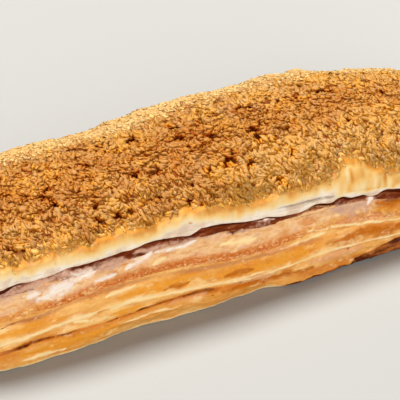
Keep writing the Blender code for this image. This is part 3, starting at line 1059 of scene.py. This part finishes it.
GOLDEN_STREAKS = (
    (1.1, (-28, 9.6), (-20, 9.5), (-12, 8.7), (-6, 7.8)),
    (1.2, (-6, 7.7), (0, 7.2), (10, 6.6), (21, 6.8)),
    (0.8, (-56, 8.8), (-46, 9.4), (-40, 8.9)),
    (0.9, (-50, 3), (-40, 3), (-28, 3.2)),
    (1.4, (32.5, 11.6), (36, 10.2), (44, 9.2)),
    (0.6, (-30, 6.4), (-22, 6.4)),
)
AMBER_STREAKS = (
    (1.35, (20.5, 6.9), (28, 7.1), (35, 5.9), (50, 5), (60, 4.6)),
    (0.8, (-4.5, 3.5), (0, 3.2), (10, 3.2), (16.5, 2.4)),
    (0.6, (-4, 7), (3, 6.6)),
    (1.3, (32, 13.2), (36, 12.4), (44, 11)),
    (0.4, (-18, 8.2), (-12, 8.3)),
)
PINK_STREAKS = (
    (0.6, (-2.7, 4.7), (4.7, 4.4), (8.3, 4.5)),
    (0.9, (15.3, 3.9), (23, 4), (28.5, 3.7)),
    (0.8, (21.7, 11.7), (29, 10.4), (36.3, 9)),
    (0.6, (-16.5, 4.6), (-8, 4.4)),
    (0.6, (6, 9.6), (14, 9)),
)
# Dark crevices between the leaves: partly their own browner bake, partly painted shade in them
BROWN_STREAKS = (
    (0.16, (-54.7, 10.5), (-50.4, 11.2), (-45.3, 10.7)),
    (0.3, (-62, 4.3), (-54.7, 4.8), (-51.1, 4.8), (-46.2, 5.3), (-42, 5.1)),
    (0.2, (-42, 5.1), (-39.4, 4.9), (-37.1, 5.3)),
    (0.16, (-31.5, 4.8), (-28, 4.9)),
    (0.22, (-25.5, 5.1), (-18.8, 5.5), (-14, 5.4)),
    (0.34, (-15.5, 5.3), (-9.5, 5.2), (-6, 4.7)),
    (0.22, (-0.9, 4.5), (-0.6, 4.5)),
    (0.22, (-6.9, 3.4), (-6.6, 3.4)),
    (0.25, (25.1, 4.5), (25.5, 4.5)),
)


def side_lines(plan):
    """The heights of the side's lines at each plan point, wandering a little."""
    places = at_height(plan, 0)
    x = plan[:, 0]
    lines = {"floor": pastry_floor(x), "top": pastry_top(x)}
    for seed, (name, stations) in enumerate(SIDE_LINES.items()):
        drift = grains(places, (0.22, 6, 201 + seed), (0.12, 1.8, 211 + seed))
        lines[name] = heights(stations, x) + drift * MM
    return lines


def side_relief(plan, levels):
    """How far out each column of the side stands at each level, in mm, before the finer relief."""
    lines = side_lines(plan)
    knots = [lines[name] + offset * MM for name, stops in SIDE_PROFILE.items() for offset, _ in stops]
    knots = np.maximum.accumulate(np.array(knots), axis=0)
    reach = [out for stops in SIDE_PROFILE.values() for _, out in stops]
    low, high = lines["floor"], lines["top"]
    columns = [np.interp(low[i] + (high[i] - low[i]) * levels, knots[:, i], reach) for i in range(len(plan))]
    return np.array(columns).T


def make_pastry():
    """The pastry bar: risen leaves, the rough rim of the upper one, their seams, and flaky lamination."""
    edge = outline(PASTRY_COLUMNS, PASTRY_WIDTH)
    levels = np.linspace(0, 1, PASTRY_ROWS)
    relief = side_relief(edge, levels)
    rows = []
    for v, out in zip(levels, relief):
        floor = pastry_floor(edge[:, 0])
        places = at_height(edge, floor + (pastry_top(edge[:, 0]) - floor) * v)
        rim = bell(0, 1.0 * MM, places[:, 2] - heights(SIDE_LINES["rim"], edge[:, 0]))
        out = out + 0.45 * grain(places, (10, 10, 3.2), 141)
        out = out + 0.22 * rough_grain(places, (5, 5, 1.0), 142)
        out = out + (0.1 + 0.18 * rim) * rough_grain(places, 0.9, 151)
        foot = along(FOOT_LINE, edge[:, 0]) * (edge[:, 1] < 0)
        out = out + foot * (1 - smooth(0.2 * MM, 3.5 * MM, places[:, 2]))
        laid = smears(places)
        out = out + 0.16 * laid["white"] + 0.08 * laid["mauve"]
        out = out + 0.16 * strokes(places, PALE_STREAKS_AND_HIGHLIGHTS) - 0.25 * strokes(places, BROWN_STREAKS)
        plan = ring(edge, 1, out * MM)
        floor = pastry_floor(plan[:, 0])
        hem = 0.3 * MM * bell(0.03, 0.03, v) * (1 + rough_grain(places, (2.5, 2.5, 9), 171))
        rows.append(at_height(plan, floor + (pastry_top(plan[:, 0]) - floor) * v + np.maximum(hem, 0)))
    points = np.concatenate(rows)
    faces = loft_faces(PASTRY_ROWS, PASTRY_COLUMNS)
    made = make_object("puff_pastry", points, faces, pastry_finish(), pastry_paints(points))
    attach(made, "root")
    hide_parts("pastry")


def pastry_paints(points):
    """How far the pastry is baked, and where its leaves, streaks and smears have shades of their own, with
    painted shade in the gap, the seams and the crevices and painted highlights on the crests.
    """
    x, _, z = points.T
    seam, fold, gap, rim = (along(stations, x) for stations in SIDE_LINES.values())
    floor, top = pastry_floor(x) / MM, pastry_top(x) / MM
    x, z = x / MM, z / MM
    laid = smears(points)
    patches = grain(points, (7, 7, 2.2), 161)
    open_seam = 1 - smooth(-6, 6, x)
    # The bake is darker just under and over the seam, partly the joint's own browner bake and partly painted
    # shade in it, and paler over the fold as a painted highlight on its crest
    bake = (
        0.36
        + 0.14 * patches
        + 0.1 * smooth(0.3, 1.2, z - floor) * (1 - smooth(seam - 0.5, seam, z))
        + 0.26 * smooth(-1.1, -0.1, z - seam) * (1 - smooth(0, 0.12, z - seam)) * open_seam
        + 0.12 * smooth(0, 0.2, z - seam) * (1 - smooth(0.5, 1.0, z - seam))
        - 0.14 * bell(0.2, 0.45, z - fold)
        + 0.14 * smooth(12, 30, x) * (1 - smooth(2, 4, z))
    )
    under = np.interp(x, *np.array(UNDERSIDE_LINE).T) + 0.35 * grain(points, 2.5, 165)
    burnt = 1 - smooth(under - 0.12, under + 0.12, z - floor)
    hem = bell(0.3, 0.45, z - floor) * (1 - smooth(8, 11, x))
    gap_shade = 0.75 * (1 - smooth(16, 22, x)) * (1 + 0.4 * patches)
    rim_bake = 0.5 + 0.45 * smooth(-48, -42, x) - 0.5 * smooth(4, 20, x)
    haze = bell(0, 1.2, z - top) * (0.45 + 0.35 * grain(points, (3, 3, 1.2), 167))
    return {
        "bake": bake,
        "peach": smooth(rim + 0.5, rim + 1.5, z),
        "golden": strokes(points, GOLDEN_STREAKS),
        "amber": strokes(points, AMBER_STREAKS),
        "orange": rim_bake * np.where(z < rim, bell(0, 0.7, z - rim), bell(0, 1.5, z - rim)),
        # Painted shade: a tan line in the hollow under the rim
        "tan": gap_shade * bell(0, 0.5, z - gap + 0.35),
        # The fold's crest and the bottom edge are painted pale: partly their own paler bake, partly painted
        # highlights
        "crest": np.maximum(0.85 * hem, (0.65 + 0.35 * patches) * bell(0, 0.22, z - fold)),
        "crumbly": (0.12 + 0.75 * bell(0, 1.0, z - rim)) * (1 - laid["white"]) * (1 - laid["mauve"]),
        "pale": strokes(points, PALE_STREAKS_AND_HIGHLIGHTS),
        "pink": strokes(points, PINK_STREAKS),
        "mauve": np.maximum(laid["mauve"], haze),
        "white": laid["white"],
        "brown": np.maximum.reduce([strokes(points, BROWN_STREAKS), burnt, laid["brown"]]),
        "butter": smooth(seam, seam + 1, z) * (1 - smooth(gap - 0.5, gap, z)),
    }


# ---- stage

CAMERA_AZIMUTH = -29.9
CAMERA_ELEVATION = 32.0
CAMERA_DISTANCE = 1.0
VIEW_WIDTH = 81 * MM
VIEW_SHIFT = (0.9 * MM, -0.95 * MM)  # from the bar's middle to the picture's centre: right and up
AIM_HEIGHT = 15 * MM
SENSOR = 36.0
# Each sun's name, azimuth, elevation, strength, spread in degrees and tint
SUNS = (
    ("key", 180, 74, 5.2, 24, (1, 1, 1)),
    ("fill", -15, 25, 2.3, 36, (1, 0.99, 0.97)),
)
WORLD_TINT = (1, 0.98, 0.96, 1)
WORLD_STRENGTH = 0.1
FLOOR_SIZE = 8
# Painted light: the floor is lighter behind the bar, where the bar shades it from the fill
FLOOR_FADE = (-20 * MM, 65 * MM)  # where along Y the floor turns lighter


def direction(azimuth, elevation):
    """The way from the bar towards a light or the camera. Azimuth 0 is the front and 90 is the +X end."""
    a, e = math.radians(azimuth), math.radians(elevation)
    return Vector((math.sin(a) * math.cos(e), -math.cos(a) * math.cos(e), math.sin(e)))


def make_camera():
    back = direction(CAMERA_AZIMUTH, CAMERA_ELEVATION)
    turn = back.to_track_quat("Z", "Y")
    right, up = turn @ Vector((1, 0, 0)), turn @ Vector((0, 1, 0))
    aim = Vector((0, 0, AIM_HEIGHT)) + right * VIEW_SHIFT[0] + up * VIEW_SHIFT[1]
    data = bpy.data.cameras.new("camera")
    data.sensor_width = SENSOR
    data.lens = SENSOR * CAMERA_DISTANCE / VIEW_WIDTH
    data.clip_end = 20
    camera = bpy.data.objects.new("camera", data)
    camera.rotation_mode = "QUATERNION"
    camera.rotation_quaternion = turn
    camera.location = aim + back * CAMERA_DISTANCE
    bpy.context.scene.collection.objects.link(camera)
    bpy.context.scene.camera = camera


def make_sun(name, azimuth, elevation, strength, spread, tint):
    data = bpy.data.lights.new(name, "SUN")
    data.energy = strength
    data.color = tint
    data.angle = math.radians(spread)
    sun = bpy.data.objects.new(name, data)
    sun.rotation_mode = "QUATERNION"
    sun.rotation_quaternion = direction(azimuth, elevation).to_track_quat("Z", "Y")
    bpy.context.scene.collection.objects.link(sun)


def make_floor():
    made = Finish("floor", roughness=0.9, specular_ior_level=0.0)
    y = made.node("SeparateXYZ", inputs={"Vector": made.places()}, output="Y")
    # Painted light behind the bar, where it shades the floor from the fill
    behind = made.steps(y, *FLOOR_FADE)
    finish = made.set(base_color=made.mix((165, 164, 160), (172, 170, 165), behind))
    bpy.ops.mesh.primitive_plane_add(size=FLOOR_SIZE, location=(0, 0, -0.1 * MM))
    floor = bpy.context.active_object
    floor.name = "floor"
    floor.data.materials.append(finish)


def make_stage():
    make_floor()
    make_camera()
    for sun in SUNS:
        make_sun(*sun)
    world = bpy.data.worlds.new("studio")
    world.use_nodes = True
    world.node_tree.nodes["Background"].inputs["Color"].default_value = WORLD_TINT
    world.node_tree.nodes["Background"].inputs["Strength"].default_value = WORLD_STRENGTH
    bpy.context.scene.world = world
    bpy.context.scene.view_settings.view_transform = "Standard"


make_stage()
make_cream()
make_crumbs()
make_spread()
make_pastry()
